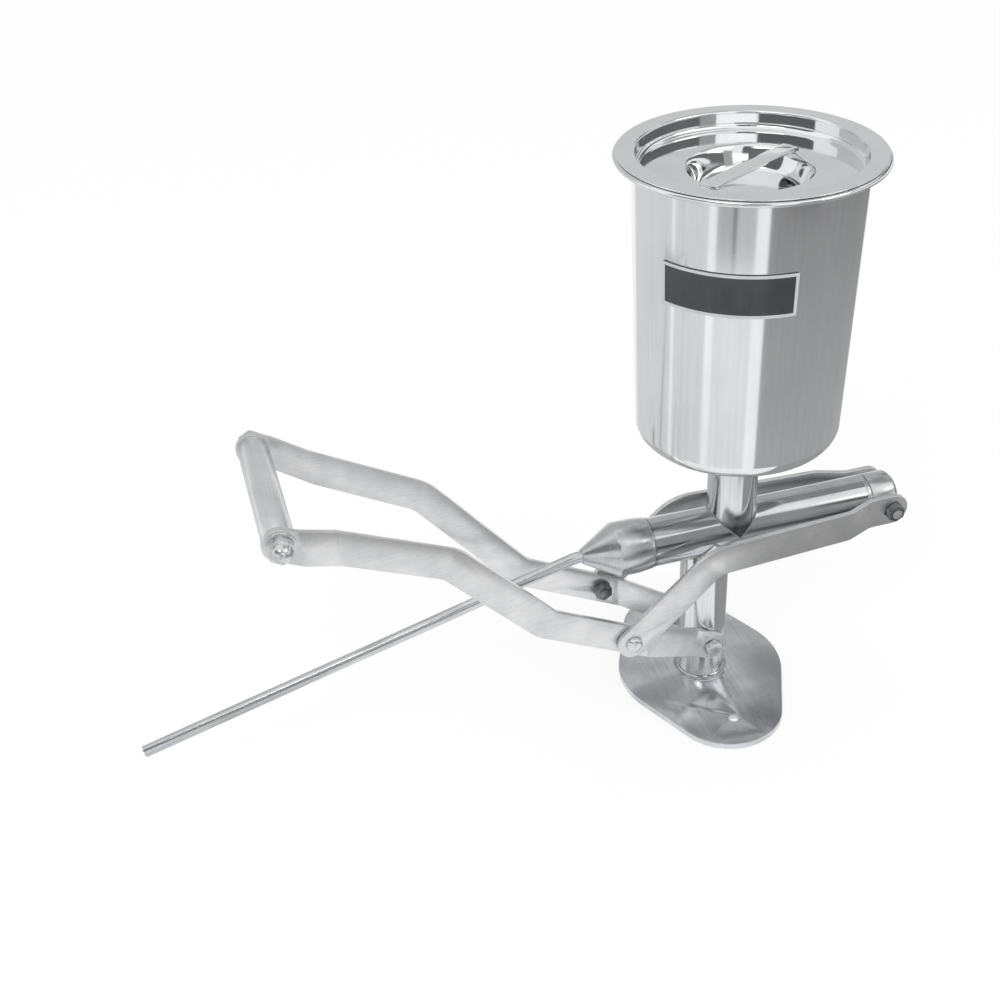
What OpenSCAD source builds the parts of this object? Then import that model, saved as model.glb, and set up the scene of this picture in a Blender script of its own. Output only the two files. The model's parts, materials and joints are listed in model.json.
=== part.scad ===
// Donut filler machine: a hand-lever piston filler with a pot hopper, a horizontal
// barrel on a post, a long thin nozzle and a double-bar lever with side links.
// +Z up, nozzle towards -Y, origin at the underside of the base below the post.

/* [Base and post] */
// Length of the diamond base plate, tip to tip (X)
base_len = 200; // [170:1:240]
// Width of the base plate through its middle (Y)
base_width = 135; // [110:1:150]
// Radius of the two rounded tips of the base plate
base_tip_r = 44.5; // [30:0.5:50]
// Thickness of the base plate
base_t = 5; // [4:0.5:8]
// Distance between the two screw holes in the base plate
screw_pitch = 140; // [110:1:150]
// Diameter of the screw holes in the base plate
screw_hole_d = 8; // [5:0.5:10]
// Outside diameter of the post, neck and barrel tubes
tube_d = 38.1; // [32:0.1:42]
// Wall of the post tube
post_wall = 2.5; // [1.5:0.1:4]
// Leg of the weld fillet round the foot of the post
foot_weld = 3; // [2:0.5:5]

/* [Barrel] */
// Height of the barrel axis above the underside of the base
axis_z = 140.5; // [130:0.5:150]
// Wall of the barrel and of the neck tube
barrel_wall = 1.55; // [1.2:0.05:2.5]
// Front end of the barrel tube, ahead of the post axis
barrel_front = 61; // [55:1:70]
// Diameter of the feed port in the top of the barrel
port_d = 28; // [20:1:30]
// Length of the rear guide bush inside the barrel
bush_len = 22; // [12:1:26]
// Thickness of the flange of the rear guide bush
bush_flange = 4; // [3:0.5:6]

/* [Hopper] */
// Distance of the hopper and neck axis behind the post axis
neck_y = 20.4; // [18:0.2:24]
// Height of the hopper's underside
hopper_z = 227; // [222:1:240]
// Height of the hopper, underside to the top of its flange
hopper_h = 211; // [180:1:240]
// Outside radius of the hopper at the bottom
hopper_r_low = 75; // [68:0.5:78]
// Outside radius of the hopper at the top
hopper_r_top = 79.4; // [76:0.2:84]
// Wall of the hopper
hopper_wall = 1.2; // [0.8:0.1:2]
// Outside radius of the rolled flange
rim_r = 91.5; // [88:0.5:98]
// Radius of the rolled edge of the flange
rim_roll = 1.8; // [1.2:0.1:2.5]
// Radius of the corner between the hopper's wall and bottom
hopper_corner = 14; // [8:1:20]
// Arc that the blank nameplate spans round the hopper, in degrees
plate_arc = 68; // [40:1:80]
// Height of the blank nameplate
plate_h = 30; // [24:1:44]
// Height of the nameplate's middle above the underside of the base
plate_z = 370.5; // [350:1:390]
// Thickness of the nameplate
plate_t = 0.8; // [0.5:0.1:1.5]
// Direction of the nameplate's middle, in degrees from +X
plate_turn = -33.5; // [-60:0.5:60]

/* [Lid] */
// Thickness of the lid sheet
lid_t = 1; // [0.8:0.1:1.5]
// Depth of the recessed lid floor below its flange
lid_depth = 11; // [8:1:16]
// Radius of the finger bowl in the middle of the lid
bowl_r = 44; // [36:1:48]
// Depth of the finger bowl below the lid floor
bowl_depth = 15; // [10:1:20]
// Width of the strap across the finger bowl
strap_w = 13; // [10:1:24]
// Thickness of the strap
strap_t = 1.6; // [1:0.1:2.5]
// Direction of the strap, in degrees from +X
strap_turn = 120; // [0:5:175]

/* [Nozzle and cap] */
// Largest outside radius of the cap nut
cap_r = 21.2; // [20.8:0.1:24]
// Length of the cap nut's round skirt
cap_skirt = 27; // [24:1:32]
// Length of the cap nut's cone
cap_cone = 26; // [22:1:34]
// How far the skirt reaches back over the barrel tube
cap_overlap = 12; // [8:1:14]
// Outside diameter of the nozzle tube
nozzle_d = 9; // [7:0.5:10]
// Bore of the nozzle tube
nozzle_bore = 7; // [4:0.5:7.5]
// Straight length of the nozzle tube beyond its bend
nozzle_len = 346; // [250:1:380]
// Downward bend of the nozzle tube, in degrees
nozzle_droop = 15.5; // [5:0.1:20]
// Radius of the nozzle tube's bend
nozzle_bend_r = 30; // [20:1:50]

/* [Lever] */
// Width of the lever's flat bars
lever_w = 24; // [20:0.5:26]
// Thickness of the flat bars of the lever and links
bar_t = 4; // [3:0.5:4]
// Height of the fulcrum bolt above the underside of the base
fulcrum_z = 42; // [40:1:48]
// Distance along the bar from the fulcrum to the link pivot
pivot_reach = 83; // [78:1:86]
// Length of the lever's rear limb, fulcrum to the lower bend
rear_limb = 158; // [145:1:165]
// Length of the lever's middle limb, between the bends
mid_limb = 106; // [95:1:115]
// Length of the lever's front limb, upper bend to the grip
front_limb = 127; // [118:1:140]
// Slope of the rear limb at rest, in degrees
rear_slope = 26.4; // [23:0.2:28]
// Slope of the middle limb at rest, in degrees
mid_slope = 48.8; // [44:0.2:54]
// Slope of the front limb at rest, in degrees
front_slope = 26; // [22:0.2:30]
// Radius of the bends along the lever and link bars
bar_bend_r = 30; // [20:1:45]
// Offset of each lever bar's middle plane at the link pivot
pivot_x = 35; // [33:0.5:38]
// Offset of each lever bar's middle plane at the upper bend
upper_bend_x = 45.5; // [42:0.5:50]
// Offset of each lever bar's middle plane where its outward set at the grip begins
set_x = 53; // [51:0.5:58]
// Length of each lever bar's outward set at the grip
set_len = 26; // [22:1:32]
// Length of the grip tube
grip_len = 120; // [116:1:132]
// Outside diameter of the grip tube
grip_d = 22.2; // [20:0.1:26]
// Wall of the grip tube
grip_wall = 1.5; // [1:0.1:2.5]
// Diameter of the rod through the grip
grip_rod_d = 10; // [8:0.5:12]
// Length of the bush in each end of the grip tube
grip_bush_len = 12; // [6:1:20]

/* [Links and crosshead] */
// Width of the flat bars of the links
link_w = 25.4; // [22:0.2:28]
// Height of each link's bend above the underside of the base, at rest
link_bend_z = 138.5; // [136:0.5:141]
// Offset of each link's middle plane where its inward set begins
link_set_x = 31.5; // [30:0.5:36]
// Distance of the crosshead pivot behind the post axis, at rest
crosshead_y = 149.5; // [147:0.5:153]
// Bend of each link ahead of the post axis
link_bend_y = 8; // [2:1:14]
// Start of the inward set of each link, behind the post axis
set_start = 108; // [104:1:112]
// End of the inward set of each link, behind the post axis
set_end = 130; // [126:1:133]
// Reach of the round crosshead ahead of its pivot
crosshead_ahead = 14; // [12:0.5:16]
// Reach of the round crosshead behind its pivot
crosshead_behind = 8.5; // [7:0.5:14]
// Chamfer round the rear end of the crosshead
crosshead_chamfer = 3.5; // [1:0.5:5]
// Diameter of the bosses that stand out of the crosshead's sides
boss_d = 20; // [16:0.5:25]
// Half-width of the crosshead across its side bosses
crosshead_half = 19.8; // [19.6:0.1:24]

/* [Piston] */
// Distance of the piston's front face ahead of the post axis, at rest
piston_front = 9; // [6:1:14]
// Length of the piston
piston_len = 56; // [50:1:60]
// Diameter of the piston rod
rod_d = 14; // [12:1:18]
// Section diameter of each piston seal ring
seal_d = 3.2; // [2.4:0.1:4]

/* [Fasteners] */
// Nominal diameter of the bolts
bolt_d = 8; // [6:1:8]
// Width across the flats of the nuts and bolt heads
nut_af = 13; // [10:0.5:14]
// Height of the nuts
nut_h = 6; // [4:0.5:7]
// Height of the hexagon bolt head
head_h = 5; // [4:0.5:6]
// Height of the domed button heads at the link pivots
button_h = 4.2; // [3:0.1:5]
// Outside diameter of the washers at the grip
washer_d = 21; // [18:0.5:24]
// Thickness of the washers
washer_t = 1.6; // [1:0.1:2]
// Width across the flats of the domed grip nuts
dome_af = 17; // [15:0.5:18]
// Height of the hexagon of the domed grip nuts
dome_hex_h = 7; // [4:0.5:9]

/* [Clearances] */
// Radial running clearance between a pin or rod and its bore
run_gap = 0.08; // [0.03:0.01:0.1]
// Gap between neighbouring faces of pieces that move past each other
side_gap = 0.4; // [0.3:0.1:0.8]
// Gap between the seated lid and the hopper
seat_gap = 0.3; // [0.2:0.1:0.6]

/* [Hidden] */
$fn = 96;

bend_steps = 12;              // straight pieces in one bend of a flat bar
tube_r = tube_d / 2;
bore_r = tube_r - barrel_wall;
base_mid_r = base_width / 2;
base_tip_x = base_len / 2 - base_tip_r;
washer_gap = 0.2;             // radial gap between a bolt and its washer
lever_end = lever_w / 2;
link_end = link_w / 2;

// Lever geometry in the side plane, as [y, z]
fulcrum = [0, fulcrum_z];
function limb(slope, length) = length * [-cos(slope), sin(slope)];
link_pivot = fulcrum + limb(rear_slope, pivot_reach);
lower_bend = fulcrum + limb(rear_slope, rear_limb);
upper_bend = lower_bend + limb(mid_slope, mid_limb);
grip_axis = upper_bend + limb(front_slope, front_limb);
crosshead_pin = [crosshead_y, axis_z];
link_bend = [-link_bend_y, link_bend_z];

// Planes across the machine
fulcrum_x = tube_r + side_gap + bar_t / 2;      // middle of a lever bar at the post
grip_x = grip_len / 2 + side_gap + bar_t / 2;   // middle of a lever bar at the grip
link_x = pivot_x + bar_t + side_gap;            // middle of a link at the link pivot
link_rear_x = crosshead_half + side_gap + bar_t / 2;
fulcrum_out = fulcrum_x + bar_t / 2;
pivot_in = pivot_x - bar_t / 2;
pivot_out = link_x + bar_t / 2;
link_rear_out = link_rear_x + bar_t / 2;
grip_out = grip_x + bar_t / 2;

// Barrel stations along Y
cap_rear_y = -barrel_front + cap_overlap;
crosshead_front = crosshead_y - crosshead_ahead;
crosshead_rear = crosshead_y + crosshead_behind;
barrel_rear = crosshead_front - side_gap - bush_flange;
cone_tip_y = cap_rear_y - cap_skirt - cap_cone;
nozzle_bend_y = cone_tip_y - 1;
nozzle_root = 23;             // straight root of the nozzle inside the cone
neck_back = 18;               // from the cap's tip back to the end of the ferrule's cone
piston_y = -piston_front;
stud_grip = 11;               // length of each stud inside the crosshead
rod_cover = 4;                // crosshead left behind the piston rod's end
rod_seat = 16;                // from the piston's front face back to the rod's full diameter

// Hopper heights and slopes
hopper_top = hopper_z + hopper_h;
lid_base = hopper_top + seat_gap;
function hopper_r(z) = hopper_r_low + (hopper_r_top - hopper_r_low) * (z - hopper_z) / hopper_h;

// ---------- helpers ----------
function unit(v) = v / norm(v);
function left_of(v) = [-v[1], v[0]];

// One edge of a strip that follows pts at the signed distance s, with radius r at each bend
function strip_edge(pts, r, s) = [
    for (i = [0 : len(pts) - 1])
        each i == 0 ? [pts[0] + s * left_of(unit(pts[1] - pts[0]))]
           : i == len(pts) - 1 ? [pts[i] + s * left_of(unit(pts[i] - pts[i - 1]))]
           : bend_points(pts[i], unit(pts[i] - pts[i - 1]), unit(pts[i + 1] - pts[i]), r, s)
];

// Points of the arc that joins the directions a and b at the corner p
function bend_points(p, a, b, r, s) =
    let (turn = atan2(a[0] * b[1] - a[1] * b[0], a * b),
         side = turn < 0 ? -1 : 1,
         centre = p + side * r / cos(turn / 2) * unit(left_of(a) + left_of(b)),
         start = atan2(-side * left_of(a)[1], -side * left_of(a)[0]))
    [for (k = [0 : bend_steps])
        centre + (r - side * s) * [cos(start + turn * k / bend_steps), sin(start + turn * k / bend_steps)]];

// Half circle round p from the left of direction d to its right
function round_end(p, d, r) =
    let (start = atan2(left_of(d)[1], left_of(d)[0]), steps = 3 * bend_steps)
    [for (k = [1 : steps - 1]) p + r * [cos(start - 180 * k / steps), sin(start - 180 * k / steps)]];

// Strip of width w that follows pts, with square or round ends
module strip(pts, w, r, round_ends = false) {
    last = len(pts) - 1;
    one = strip_edge(pts, r, w / 2);
    other = strip_edge(pts, r, -w / 2);
    polygon(concat(
        one,
        round_ends ? round_end(pts[last], unit(pts[last] - pts[last - 1]), w / 2) : [],
        [for (i = [len(other) - 1 : -1 : 0]) other[i]],
        round_ends ? round_end(pts[0], unit(pts[0] - pts[1]), w / 2) : []
    ));
}

// Extrudes a side view drawn as [y, z] across the machine, from x1 to x2
module across(x1, x2) translate([x1, 0, 0]) rotate([90, 0, 90]) linear_extrude(x2 - x1) children();

// Round bar along X, centred on the side-plane point p
module x_rod(p, r, x1, x2) translate([x1, p[0], p[1]]) rotate([0, 90, 0]) cylinder(h = x2 - x1, r = r);

// Round bar along the barrel axis from y1 to y2
module y_rod(r, y1, y2) translate([0, y2, axis_z]) rotate([90, 0, 0]) cylinder(h = y2 - y1, r = r);

// Solid of revolution about the barrel axis; the profile is [radius, distance ahead of y0]
module forward_turned(y0, profile) translate([0, y0, axis_z]) rotate([90, 0, 0])
    rotate_extrude() polygon(profile);

// Solid of revolution about the hopper axis; the profile is [radius, height]
module hopper_turned(profile) translate([0, neck_y, 0]) rotate_extrude() polygon(profile);

// Hexagonal nut or head along X from x1 to x2, on the side-plane point p
module hex(p, af, x1, x2) intersection() {
    translate([x1, p[0], p[1]]) rotate([0, 90, 0]) cylinder(h = x2 - x1, d = af / cos(30), $fn = 6);
    x_rod(p, af / 2 * 1.1, x1, x2);
}

// Nut along X with its bolt hole
module nut(p, x1, x2, af = nut_af) difference() {
    hex(p, af, x1, x2);
    x_rod(p, bolt_d / 2, x1 - 1, x2 + 1);
}

// Washer along X from x1
module washer(p, x1, d = washer_d) difference() {
    x_rod(p, d / 2, x1, x1 + washer_t);
    x_rod(p, bolt_d / 2 + washer_gap, x1 - 1, x1 + washer_t + 1);
}

module both_sides() {
    children();
    mirror([1, 0, 0]) children();
}

// ---------- base and post ----------
module base_plate() color("silver") difference() {
    tangent_x = (base_mid_r - base_tip_r) / base_tip_x;
    tangent_y = sqrt(1 - tangent_x * tangent_x);
    union() {
        cylinder(h = base_t, r = base_mid_r);
        for (s = [-1, 1]) translate([s * base_tip_x, 0, 0]) cylinder(h = base_t, r = base_tip_r);
        linear_extrude(base_t) polygon([
            for (c = [[1, 1, 0], [1, 1, 1], [1, -1, 1], [1, -1, 0], [-1, -1, 0], [-1, -1, 1], [-1, 1, 1], [-1, 1, 0]])
                let (r = c[2] ? base_tip_r : base_mid_r)
                [c[0] * (c[2] * base_tip_x + r * tangent_x), c[1] * r * tangent_y]
        ]);
    }
    for (s = [-1, 1]) translate([s * screw_pitch / 2, 0, -1]) cylinder(h = base_t + 2, d = screw_hole_d);
}

module post() color("gainsboro") difference() {
    union() {
        translate([0, 0, base_t]) cylinder(h = axis_z - base_t, r = tube_r);
        translate([0, 0, base_t]) rotate_extrude()
            polygon([[tube_r - 1, 0], [tube_r + foot_weld, 0], [tube_r + foot_weld * 0.5, foot_weld * 0.35],
                     [tube_r + foot_weld * 0.15, foot_weld], [tube_r - 1, foot_weld]]);
    }
    translate([0, 0, base_t - 1]) cylinder(h = axis_z, r = tube_r - post_wall);
    y_rod(tube_r, -2 * tube_r, 2 * tube_r);
    x_rod(fulcrum, bolt_d / 2 + run_gap, -2 * tube_r, 2 * tube_r);
}

// ---------- barrel, neck and hopper ----------
module barrel() color("lightgray") difference() {
    y_rod(tube_r, -barrel_front, barrel_rear);
    y_rod(bore_r, -barrel_front - 1, barrel_rear + 1);
    translate([0, neck_y, axis_z]) cylinder(h = 2 * tube_r, d = port_d);
}

module neck_tube() color("gainsboro") difference() {
    translate([0, neck_y, axis_z]) cylinder(h = hopper_z - axis_z, r = tube_r);
    translate([0, neck_y, axis_z - 1]) cylinder(h = hopper_z - axis_z + 2, r = bore_r);
    y_rod(tube_r, -barrel_front, barrel_rear);
}

module hopper() color("whitesmoke") {
    w = hopper_wall;
    c = hopper_corner;
    flange_z = hopper_top - w;
    roll_z = hopper_top - rim_roll;
    hopper_turned(concat(
        [[bore_r, hopper_z]],
        [for (a = [-90 : 10 : 0])
            [hopper_r(hopper_z + c) - c + c * cos(a), hopper_z + c + c * sin(a)]],
        [[hopper_r(flange_z), flange_z]],
        [for (a = [-170 : 20 : 90]) [rim_r - rim_roll + rim_roll * cos(a), roll_z + rim_roll * sin(a)]],
        [[hopper_r(hopper_top) - w, hopper_top]],
        [for (a = [0 : -10 : -90])
            [hopper_r(hopper_z + c) - c + (c - w) * cos(a), hopper_z + c + (c - w) * sin(a)]],
        [[bore_r, hopper_z + w]]
    ));
}

// Sector of the hopper's wall from a1 to a2 degrees and z1 to z2, between t1 and t2 proud of it
module patch(a1, a2, z1, z2, t1, t2) translate([0, neck_y, 0]) rotate([0, 0, a1])
    rotate_extrude(angle = a2 - a1) polygon([
        [hopper_r(z1) + t1, z1], [hopper_r(z1) + t2, z1], [hopper_r(z2) + t2, z2], [hopper_r(z2) + t1, z2]
    ]);

module nameplate() color("dimgray") {
    border = 2.2;
    relief = 0.4;
    glue = 0.1;
    low = plate_z - plate_h / 2;
    high = plate_z + plate_h / 2;
    a1 = plate_turn - plate_arc / 2;
    a2 = plate_turn + plate_arc / 2;
    edge_turn = border / hopper_r(plate_z) * 180 / PI;
    difference() {
        patch(a1, a2, low, high, glue, plate_t + relief);
        patch(a1 + edge_turn, a2 - edge_turn, low + border, high - border, plate_t, plate_t + relief + 1);
    }
}

module rear_bush() color("silver") difference() {
    union() {
        y_rod(bore_r, barrel_rear - bush_len, barrel_rear);
        y_rod(tube_r, barrel_rear, barrel_rear + bush_flange);
    }
    y_rod(rod_d / 2 + run_gap, barrel_rear - bush_len - 1, barrel_rear + bush_flange + 1);
}

// ---------- fulcrum ----------
module fulcrum_bolt() color("darkgray") {
    face = fulcrum_out + side_gap;
    x_rod(fulcrum, bolt_d / 2, -face - nut_h - 2, face);
    hex(fulcrum, nut_af, face, face + head_h);
}

module fulcrum_nut() color("darkgray") {
    face = fulcrum_out + side_gap;
    nut(fulcrum, -face - nut_h, -face);
}

// ---------- cap and nozzle ----------
module cap_nut() color("silver") {
    tip = cap_skirt + cap_cone;
    tube_hole = nozzle_d / 2;
    bore = tube_r + run_gap;
    shoulder = cap_overlap + 5;
    forward_turned(cap_rear_y, [
        [bore, 0], [tube_r + 0.9, 0], [cap_r, cap_skirt * 0.4], [cap_r, cap_skirt],
        [tube_hole + 1.2, tip], [tube_hole, tip], [tube_hole, tip - 16],
        [bore - 4, shoulder], [bore, shoulder]
    ]);
}

module cap_gasket() color("white")
    forward_turned(cap_rear_y, [
        [bore_r, cap_overlap + 0.2], [tube_r, cap_overlap + 0.2],
        [tube_r, cap_overlap + 2], [bore_r, cap_overlap + 2]
    ]);

module nozzle_ferrule() color("gainsboro") {
    seat = cap_overlap + 2;
    shoulder = cap_overlap + 5;
    neck = cap_skirt + cap_cone - neck_back;
    forward_turned(cap_rear_y, [
        [bore_r - 1, seat], [tube_r, seat], [tube_r, shoulder], [tube_r - 4.4, shoulder],
        [nozzle_d / 2 + 0.3, neck], [nozzle_d / 2, neck], [nozzle_d / 2, neck - 4]
    ]);
}

// Tube wall of length h along +Z, drawn with the nozzle's own diameters
module nozzle_length(h) difference() {
    cylinder(h = h, r = nozzle_d / 2);
    translate([0, 0, -1]) cylinder(h = h + 2, r = nozzle_bore / 2);
}

// Root, bend and long straight run, drawn about the bend's centre with +X up and +Y ahead
module nozzle_tube() color("gainsboro")
    translate([0, nozzle_bend_y, axis_z - nozzle_bend_r]) rotate([0, -90, 0]) rotate([180, 0, 0]) {
        translate([nozzle_bend_r, 0, 0]) rotate([90, 0, 0]) nozzle_length(nozzle_root);
        rotate_extrude(angle = nozzle_droop) translate([nozzle_bend_r, 0]) difference() {
            circle(nozzle_d / 2);
            circle(nozzle_bore / 2);
        }
        rotate([0, 0, nozzle_droop]) translate([nozzle_bend_r, 0, 0]) rotate([-90, 0, 0])
            nozzle_length(nozzle_len);
    }

// ---------- lid ----------
module lid() color("whitesmoke") {
    wall = hopper_r(hopper_top) - hopper_wall - seat_gap - 0.6;
    floor_z = lid_base - lid_depth;
    bowl_z = floor_z - bowl_depth;
    r = 4;                    // radius where the lid's wall meets its floor
    flange = rim_r - rim_roll;
    // Side of the bowl, a smooth S from the floor down to the bowl's bottom
    bowl_side = [for (k = [0 : 10]) [bowl_r - k, floor_z - bowl_depth * (1 - cos(18 * k)) / 2]];
    hopper_turned(concat(
        [[0, bowl_z]],
        [for (i = [10 : -1 : 0]) bowl_side[i]],
        [for (a = [-90 : 15 : 0]) [wall - lid_t - r + r * cos(a), floor_z + r + r * sin(a)]],
        [[wall - lid_t, lid_base + lid_t - 1], [wall - lid_t + 1, lid_base + lid_t],
         [flange - 0.5, lid_base + lid_t], [flange, lid_base + lid_t / 2], [flange - 0.5, lid_base],
         [wall, lid_base]],
        [for (a = [0 : -15 : -90])
            [wall - lid_t - r + (r + lid_t) * cos(a), floor_z + r + (r + lid_t) * sin(a)]],
        [for (p = bowl_side) p - [0.3, lid_t]],
        [[0, bowl_z - lid_t]]
    ));
}

module lid_strap() color("silver") {
    floor_z = lid_base - lid_depth;
    reach = bowl_r + 3;
    translate([0, neck_y, floor_z]) rotate([0, 0, strap_turn])
        linear_extrude(strap_t) intersection() {
            square([2 * reach, strap_w], center = true);
            circle(reach);
        }
}

// ---------- lever ----------
// Middle line of one lever bar seen from above, as [x, y]
grip_pad_y = grip_axis[0] + lever_end;          // start of the straight pad at the grip
lever_plan = [
    [fulcrum_x, lever_end + 1], [fulcrum_x, -lever_end - 2], [pivot_x, link_pivot[0] + lever_end + 2],
    [pivot_x, lower_bend[0]], [upper_bend_x, upper_bend[0]], [set_x, grip_pad_y + set_len],
    [grip_x, grip_pad_y + 1], [grip_x, grip_axis[0] - lever_end - 1]
];
plan_bend_r = 14;             // radius of the bends seen from above
tall = 2 * hopper_top;        // more than the height of anything that is cut from a plan

module lever_bar() difference() {
    intersection() {
        across(0, 2 * grip_x) strip([fulcrum, lower_bend, upper_bend, grip_axis], lever_w, bar_bend_r, true);
        linear_extrude(tall) strip(lever_plan, bar_t, plan_bend_r);
    }
    x_rod(fulcrum, bolt_d / 2 + run_gap, 0, 2 * grip_x);
    x_rod(link_pivot, bolt_d / 2, 0, 2 * grip_x);
    x_rod(grip_axis, grip_rod_d / 2, 0, 2 * grip_x);
}

module lever_bar_right() color("lightgray") lever_bar();
module lever_bar_left() color("lightgray") mirror([1, 0, 0]) lever_bar();

module grip_tube() color("silver") difference() {
    x_rod(grip_axis, grip_d / 2, -grip_len / 2, grip_len / 2);
    x_rod(grip_axis, grip_d / 2 - grip_wall, -grip_len / 2 - 1, grip_len / 2 + 1);
}

module grip_bushes() color("ivory") both_sides() difference() {
    x_rod(grip_axis, grip_d / 2 - grip_wall, grip_len / 2 - grip_bush_len, grip_len / 2);
    x_rod(grip_axis, grip_rod_d / 2 + run_gap, grip_len / 2 - grip_bush_len - 1, grip_len / 2 + 1);
}

module grip_rod() color("darkgray") {
    reach = grip_out + washer_t + dome_hex_h + 1;
    x_rod(grip_axis, grip_rod_d / 2, -reach, reach);
}

module grip_washers() color("silver") both_sides() difference() {
    x_rod(grip_axis, washer_d / 2, grip_out, grip_out + washer_t);
    x_rod(grip_axis, grip_rod_d / 2 + washer_gap, grip_out - 1, grip_out + washer_t + 1);
}

// Domed nut: a hexagon with a round cap over the rod's end
module grip_nuts() color("gainsboro") both_sides() difference() {
    face = grip_out + washer_t;
    dome_r = dome_af / 2 * 0.86;
    union() {
        hex(grip_axis, dome_af, face, face + dome_hex_h);
        translate([face + dome_hex_h, grip_axis[0], grip_axis[1]]) rotate([0, 90, 0])
            rotate_extrude() polygon(concat(
                [[0, -1], [dome_r, -1]],
                [for (a = [0 : 9 : 90]) [dome_r * cos(a), dome_r * sin(a)]]
            ));
    }
    x_rod(grip_axis, grip_rod_d / 2, face - 1, face + dome_hex_h + 1);
}

// Nut on the inner face of each lever bar, with the threaded end that passes through the bar
module pivot_nuts() color("dimgray") both_sides() {
    nut(link_pivot, pivot_in - nut_h, pivot_in);
    x_rod(link_pivot, bolt_d / 2, pivot_in - nut_h - 1.5, pivot_x + bar_t / 2);
}

// ---------- links ----------
// Middle line of one link seen from above, as [x, y]
link_plan = [
    [link_x, link_pivot[0] - link_end - 1], [link_x, -30], [link_set_x, set_start],
    [link_rear_x, set_end], [link_rear_x, crosshead_y + link_end + 1]
];

module link() difference() {
    intersection() {
        across(0, 2 * link_x) strip([link_pivot, link_bend, crosshead_pin], link_w, bar_bend_r, true);
        linear_extrude(tall) strip(link_plan, bar_t, plan_bend_r);
    }
    x_rod(link_pivot, bolt_d / 2, 0, 2 * link_x);
    x_rod(crosshead_pin, bolt_d / 2 + run_gap, 0, 2 * link_x);
}

module link_right() color("lightgray") link();
module link_left() color("lightgray") mirror([1, 0, 0]) link();

// Button-head bolt on the outer face of each link; its shank passes through the link
module pivot_bolts() color("gainsboro") both_sides() {
    x_rod(link_pivot, bolt_d / 2, link_x - bar_t / 2, pivot_out);
    translate([pivot_out, link_pivot[0], link_pivot[1]]) rotate([0, 90, 0]) rotate_extrude()
        polygon([[0, 0], [nut_af / 2, 0], [nut_af / 2, button_h * 0.3], [nut_af * 0.45, button_h * 0.65],
                 [nut_af * 0.34, button_h * 0.9], [nut_af * 0.17, button_h], [0, button_h]]);
}

// ---------- crosshead and piston ----------
module crosshead() color("silver") difference() {
    union() {
        forward_turned(crosshead_rear, [
            [0, 0], [tube_r - crosshead_chamfer, 0], [tube_r, crosshead_chamfer],
            [tube_r, crosshead_rear - crosshead_front], [0, crosshead_rear - crosshead_front]
        ]);
        x_rod(crosshead_pin, boss_d / 2, -crosshead_half, crosshead_half);
    }
    both_sides() x_rod(crosshead_pin, bolt_d / 2, crosshead_half - stud_grip, crosshead_half + 1);
    y_rod(rod_d / 2, crosshead_front - 1, crosshead_rear - rod_cover);
}

// Studs that carry the rear eyes of the links
module link_studs() color("darkgray") both_sides()
    x_rod(crosshead_pin, bolt_d / 2, crosshead_half - stud_grip, link_rear_out + side_gap + nut_h + 1);

module link_nuts() color("dimgray") both_sides()
    nut(crosshead_pin, link_rear_out + side_gap, link_rear_out + side_gap + nut_h);

module piston_rod() color("darkgray") {
    y_rod(rod_d / 2, piston_y + rod_seat, crosshead_rear - rod_cover);
    y_rod(bolt_d / 2, piston_y + 1, piston_y + rod_seat);
}

module piston() color("ivory") {
    r = bore_r - run_gap;
    groove_r = bore_r - run_gap - seal_d - 0.05;
    groove_w = seal_d + 0.6;
    g1 = 5;                   // start of the front groove behind the piston's front face
    g2 = piston_len - 5 - groove_w;
    difference() {
        y_rod(r, piston_y, piston_y + piston_len);
        y_rod(rod_d / 2, piston_y + rod_seat, piston_y + piston_len + 1);
        y_rod(bolt_d / 2, piston_y - 1, piston_y + rod_seat + 1);
        y_rod(nut_af * 0.62, piston_y - 1, piston_y + nut_h + 2);
        for (g = [g1, g2]) difference() {
            y_rod(bore_r + 1, piston_y + g, piston_y + g + groove_w);
            y_rod(groove_r, piston_y + g - 1, piston_y + g + groove_w + 1);
        }
    }
}

module piston_seals() color("black") {
    groove_w = seal_d + 0.6;
    for (g = [5, piston_len - 5 - groove_w])
        translate([0, piston_y + g + groove_w / 2, axis_z]) rotate([90, 0, 0]) rotate_extrude()
            translate([bore_r - run_gap - seal_d / 2, 0]) circle(d = seal_d, $fn = 24);
}

module piston_nut() color("darkgray") difference() {
    translate([0, piston_y + nut_h + 2, axis_z]) rotate([90, 0, 0])
        cylinder(h = nut_h, d = nut_af / cos(30), $fn = 6);
    y_rod(bolt_d / 2, piston_y - 1, piston_y + nut_h + 3);
}

base_plate();
post();
barrel();
neck_tube();
hopper();
nameplate();
rear_bush();
fulcrum_bolt();
fulcrum_nut();
cap_nut();
cap_gasket();
nozzle_ferrule();
nozzle_tube();
lid();
lid_strap();
lever_bar_right();
lever_bar_left();
grip_rod();
grip_washers();
grip_nuts();
pivot_nuts();
grip_tube();
grip_bushes();
link_right();
link_left();
pivot_bolts();
crosshead();
link_studs();
link_nuts();
piston_rod();
piston();
piston_seals();
piston_nut();
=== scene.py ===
# %% [markdown]
# # A hand-worked donut filler in Blender
# The machine is a lidded pot of filling on a short neck. The neck stands on a level barrel, the
# barrel stands on a post, and a two-bar lever pulls a piston back through two side links. The exact
# solids come from the imported CAD model, which is never moved or changed here. This script gives the
# listed pieces softened edges, and each visible piece its real surface and its light.

# %% Load the fixed frame
import json
import math

import bmesh
import bpy
from mathutils import Matrix, Vector

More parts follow.
